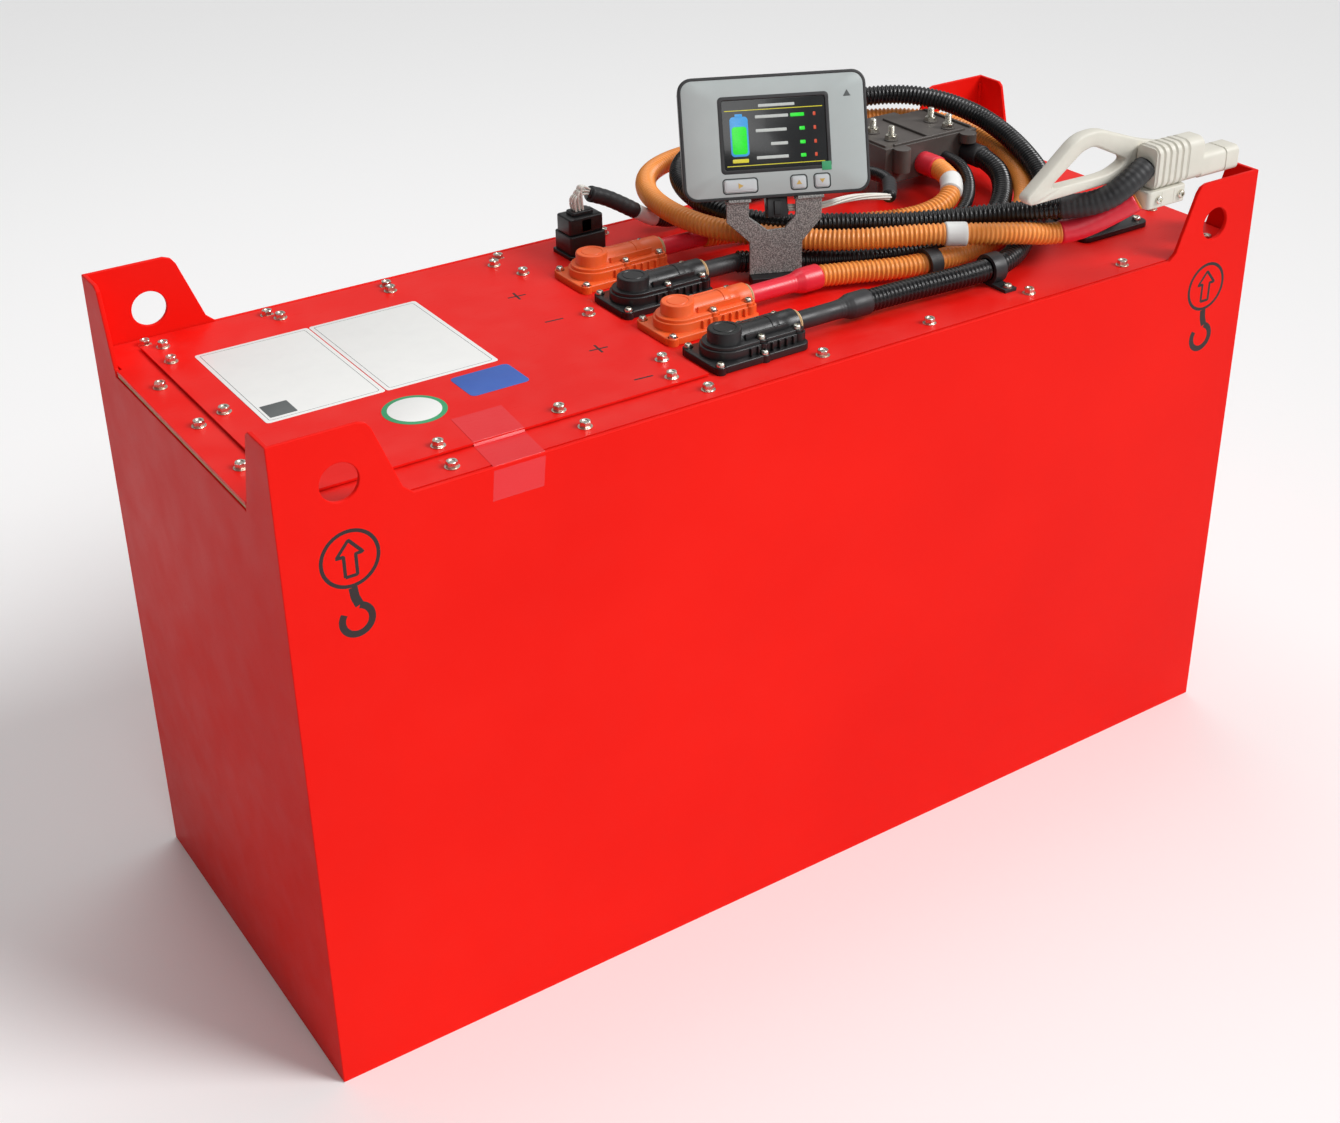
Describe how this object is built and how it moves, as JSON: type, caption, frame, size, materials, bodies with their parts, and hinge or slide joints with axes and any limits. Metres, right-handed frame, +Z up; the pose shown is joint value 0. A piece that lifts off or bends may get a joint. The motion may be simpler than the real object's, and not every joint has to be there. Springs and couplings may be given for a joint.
{
  "type": "traction battery pack",
  "caption": "Steel-cased lithium traction battery: tray of prismatic cells, bolted lid with cable connectors, vent, charge inlet, display on a bracket and a two-pole truck plug.",
  "frame": {"origin": "centre of the tray's underside, on the surface it stands on", "axes": "+X along the tray's long side towards the end with the vent and the truck plug, +Y from the side with the truck plug towards the side where the cables loop out, +Z up"},
  "size_m": [1.03, 0.4599, 0.7302],
  "materials": {
    "red_paint": "bright red gloss paint on folded steel plate",
    "orange_plastic": "moulded orange plastic, slightly grained",
    "black_plastic": "moulded black plastic, slightly grained",
    "orange_conduit": "ribbed orange conduit",
    "black_conduit": "ribbed black conduit",
    "red_shrink": "smooth red shrink sleeve",
    "black_shrink": "smooth black shrink sleeve",
    "zinc_steel": "zinc-plated steel",
    "black_steel": "black coated steel",
    "aluminium_case": "drawn aluminium cell case",
    "copper": "bare copper alloy",
    "foam": "tan closed-cell gasket",
    "white_plastic": "white plastic film",
    "display_grey": "grey front plate of a display",
    "display_glass": "clear cover over a grey-green screen",
    "bracket_grey": "dark grey speckled coating on steel",
    "plug_grey": "warm light grey moulded plastic",
    "inlet_grey": "dark grey moulded plastic",
    "board_green": "green circuit board",
    "spring_steel": "bright spring wire",
    "white_wire": "thin white insulated wires"
  },
  "bodies": {
    "pack": {"tray": "red_paint", "lifting_ears": "red_paint", "main_lid": "red_paint", "access_cover": "red_paint", "gaskets": "foam", "lid_screws": "zinc_steel", "lid_washers": "zinc_steel", "cell_cases": "aluminium_case", "cell_terminals": "aluminium_case", "busbars": "copper", "cell_spacers": "white_plastic", "module_frame": "black_steel", "ballast_plates": "black_steel", "equipment_plate": "black_steel", "bms_case": "black_plastic", "bms_board": "board_green", "contactor": "black_plastic", "minus_connector_bases": "black_plastic", "plus_connector_bases": "orange_plastic", "minus_connector_covers": "black_plastic", "plus_connector_covers": "orange_plastic", "connector_screws": "zinc_steel", "connector_seals": "foam", "connector_conductors": "copper", "black_sleeves": "black_shrink", "red_sleeves": "red_shrink", "cable_clamps": "black_shrink", "vent_base": "black_plastic", "vent_cap": "black_plastic", "vent_spring": "spring_steel", "accessory_screws": "zinc_steel", "display_bezel": "display_grey", "display_case": "black_plastic", "display_screen": "display_glass", "display_board": "board_green", "display_plug": "black_plastic", "display_bracket": "bracket_grey", "display_foot": "black_plastic", "inlet_body": "inlet_grey", "inlet_studs": "zinc_steel", "inlet_contacts": "copper", "plug_housing": "plug_grey", "plug_contacts": "copper", "plug_clamp": "plug_grey", "plug_screws": "zinc_steel", "plug_handle": "plug_grey", "com_header": "black_plastic", "com_plug": "black_plastic", "signal_gland": "black_plastic", "discharge_minus_cable": "black_conduit", "discharge_plus_cable": "orange_conduit", "charge_plus_cable": "orange_conduit", "charge_minus_cable": "black_conduit", "inlet_signal_cable": "black_conduit", "data_cable": "black_conduit", "data_wires": "white_wire"},
    "left_key": {"key_left": "display_grey"},
    "middle_key": {"key_middle": "display_grey"},
    "right_key": {"key_right": "display_grey"},
    "valve": {"vent_valve": "black_plastic"}
  },
  "joints": [
    {"name": "left_key_press", "type": "slide", "parent": "pack", "child": "left_key", "axis": [0.3822, 0.8585, -0.342], "range_m": [0, 0.001], "stiffness_N_per_m": 400},
    {"name": "middle_key_press", "type": "slide", "parent": "pack", "child": "middle_key", "axis": [0.3822, 0.8585, -0.342], "range_m": [0, 0.001], "stiffness_N_per_m": 400},
    {"name": "right_key_press", "type": "slide", "parent": "pack", "child": "right_key", "axis": [0.3822, 0.8585, -0.342], "range_m": [0, 0.001], "stiffness_N_per_m": 400},
    {"name": "vent_valve_lift", "type": "slide", "parent": "pack", "child": "valve", "axis": [0, 0, 1], "range_m": [0, 0.003], "stiffness_N_per_m": 400, "springref_m": -0.002, "deforming": ["vent_spring"]}
  ]
}
